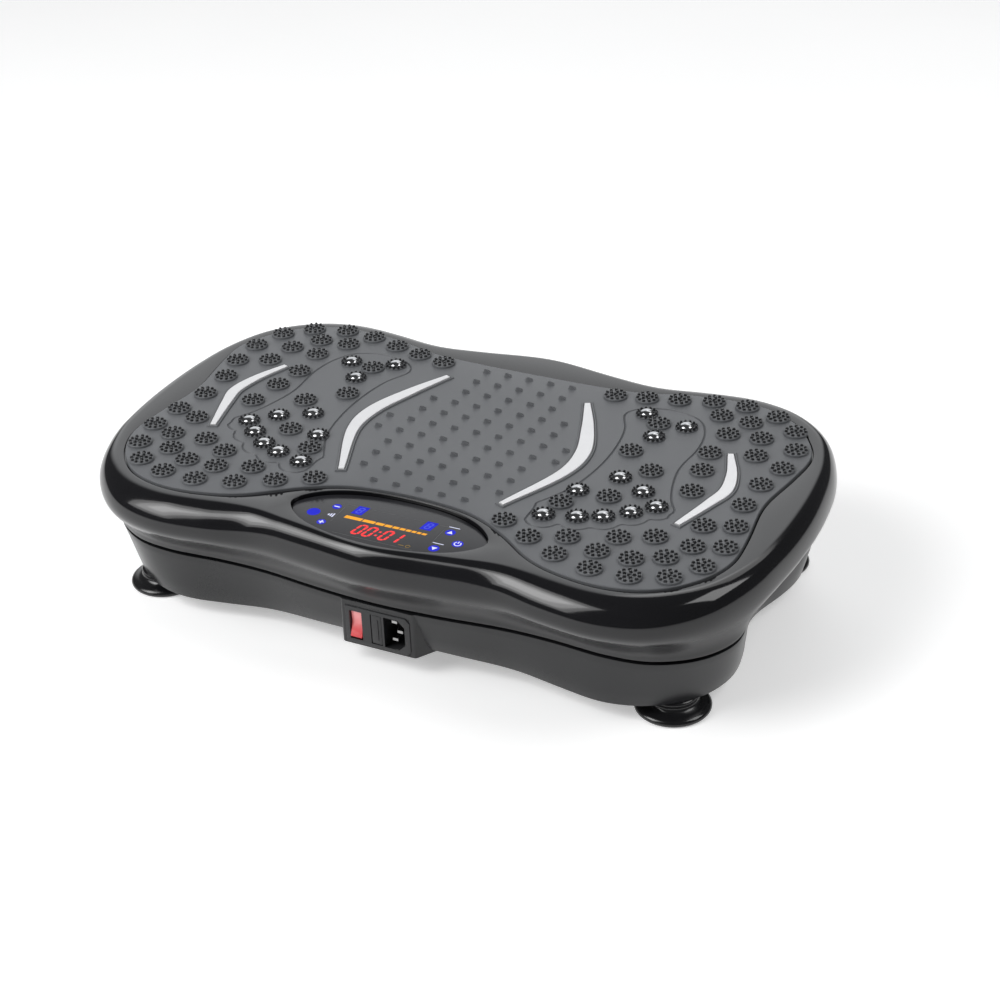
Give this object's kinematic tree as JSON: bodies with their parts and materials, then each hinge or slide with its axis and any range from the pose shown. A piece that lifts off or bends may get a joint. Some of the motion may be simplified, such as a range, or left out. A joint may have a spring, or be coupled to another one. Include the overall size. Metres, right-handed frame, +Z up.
{
  "type": "vibration plate",
  "caption": "Low waisted vibration footplate: a see-sawing deck with a massage mat and touch display on a base with suction feet and a mains inlet.",
  "frame": {"origin": "on the floor, under the middle of the footplate's outline", "axes": "+X to the right seen from the display side, +Y to the back, away from the display, +Z up"},
  "size_m": [0.52, 0.31, 0.11],
  "materials": {
    "deck_gloss": "gloss black moulded plastic",
    "base_satin": "satin dark grey moulded plastic",
    "mat_rubber": "matt slate grey rubber",
    "bright_strip": "bright fine-brushed silver",
    "stud_steel": "polished steel cap",
    "display_lens": "smoked, polished",
    "circuit_board": "green solder mask",
    "steel": "plain steel",
    "painted_casting": "dark grey paint",
    "pulley_nylon": "natural nylon",
    "belt_rubber": "black, matt",
    "foot_rubber": "black, polished",
    "inlet_plastic": "fine matt black",
    "contact_metal": "nickel plated",
    "key_red": "gloss translucent red"
  },
  "bodies": {
    "base": {"base_shell": "base_satin", "chassis_plate": "steel", "pivot_block_front": "painted_casting", "pivot_block_back": "painted_casting", "bearing_block_front": "painted_casting", "bearing_block_back": "painted_casting", "motor_case": "painted_casting", "control_board": "circuit_board", "drive_belt": "belt_rubber", "inlet_housing": "inlet_plastic", "foot_back_left": "foot_rubber", "foot_back_right": "foot_rubber", "foot_front_left": "foot_rubber", "foot_front_right": "foot_rubber", "inlet_pin_earth": "contact_metal", "inlet_pin_line": "contact_metal", "inlet_pin_neutral": "contact_metal"},
    "deck": {"deck_shell": "deck_gloss", "top_mat": "mat_rubber", "display_lens": "display_lens", "display_board": "circuit_board", "swing_frame": "steel", "pivot_shaft": "steel", "link_pin": "steel", "strip_inner_left": "bright_strip", "strip_inner_right": "bright_strip", "strip_outer_left": "bright_strip", "strip_outer_right": "bright_strip", "magnet_stud_left_01": "stud_steel", "magnet_stud_left_02": "stud_steel", "magnet_stud_left_03": "stud_steel", "magnet_stud_left_04": "stud_steel", "magnet_stud_left_05": "stud_steel", "magnet_stud_left_06": "stud_steel", "magnet_stud_left_07": "stud_steel", "magnet_stud_left_08": "stud_steel", "magnet_stud_left_09": "stud_steel", "magnet_stud_left_10": "stud_steel", "magnet_stud_left_11": "stud_steel", "magnet_stud_right_01": "stud_steel", "magnet_stud_right_02": "stud_steel", "magnet_stud_right_03": "stud_steel", "magnet_stud_right_04": "stud_steel", "magnet_stud_right_05": "stud_steel", "magnet_stud_right_06": "stud_steel", "magnet_stud_right_07": "stud_steel", "magnet_stud_right_08": "stud_steel", "magnet_stud_right_09": "stud_steel", "magnet_stud_right_10": "stud_steel", "magnet_stud_right_11": "stud_steel"},
    "rod": {"connecting_rod": "steel"},
    "crank": {"crank_shaft": "steel", "crank_pulley": "pulley_nylon"},
    "motor_rotor": {"motor_shaft": "steel", "motor_pulley": "pulley_nylon"},
    "switch_key": {"rocker_key": "key_red"},
    "fuse_carrier": {"fuse_drawer": "inlet_plastic"}
  },
  "joints": [
    {"name": "deck_rock", "type": "hinge", "parent": "base", "child": "deck", "pos_m": [0, 0, 0.06], "axis": [0, 1, 0], "range_deg": [-0.5, 0.5]},
    {"name": "rod_swing", "type": "hinge", "parent": "deck", "child": "rod", "pos_m": [0.08, 0, 0.0847], "axis": [0, 1, 0], "range_deg": [-0.5, 0.5]},
    {"name": "crank_turn", "type": "hinge", "parent": "base", "child": "crank", "pos_m": [0.08, 0, 0.06], "axis": [0, 1, 0], "continuous": true},
    {"name": "motor_turn", "type": "hinge", "parent": "base", "child": "motor_rotor", "pos_m": [-0.095, 0, 0.06], "axis": [0, 1, 0], "continuous": true},
    {"name": "switch_rock", "type": "hinge", "parent": "base", "child": "switch_key", "pos_m": [-0.0168, -0.132, 0.031], "axis": [1, 0, 0], "range_deg": [0, 20]},
    {"name": "fuse_drawer_slide", "type": "slide", "parent": "base", "child": "fuse_carrier", "axis": [0, -1, 0], "range_m": [0, 0.022]}
  ],
  "couplings": [
    {"joint": "rod_swing", "follows": "deck_rock", "ratio": -1},
    {"joint": "crank_turn", "follows": "motor_turn", "ratio": 0.35714}
  ]
}
